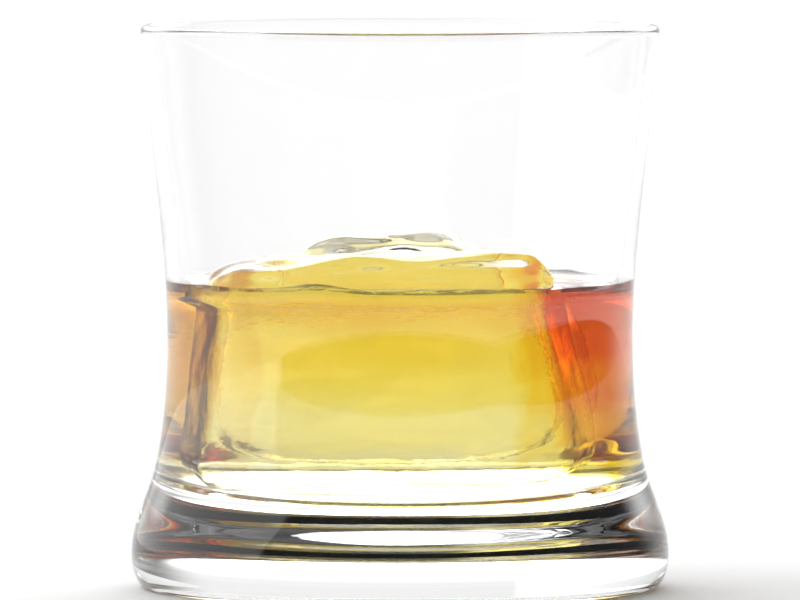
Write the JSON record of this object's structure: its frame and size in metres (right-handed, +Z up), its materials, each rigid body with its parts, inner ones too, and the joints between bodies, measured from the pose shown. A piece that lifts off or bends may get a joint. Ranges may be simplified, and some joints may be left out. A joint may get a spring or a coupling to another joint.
{
  "type": "whisky on the rocks",
  "caption": "Waisted glass tumbler with a thick base, part filled with whisky, with two blocks of melting ice.",
  "frame": {"origin": "middle of the foot, on the surface that the glass stands on", "axes": "+Z up along the glass's axis, -Y towards the side with the large block of ice, +X to the right seen from there"},
  "size_m": [0.085, 0.085, 0.089],
  "materials": {
    "glass": "clear polished soda-lime glass",
    "whisky": "clear amber liquid",
    "ice": "clear melting ice, wet and smooth"
  },
  "bodies": {
    "root": {"glass": "glass", "whisky": "whisky", "ice_front": "ice", "ice_back": "ice"}
  },
  "joints": []
}
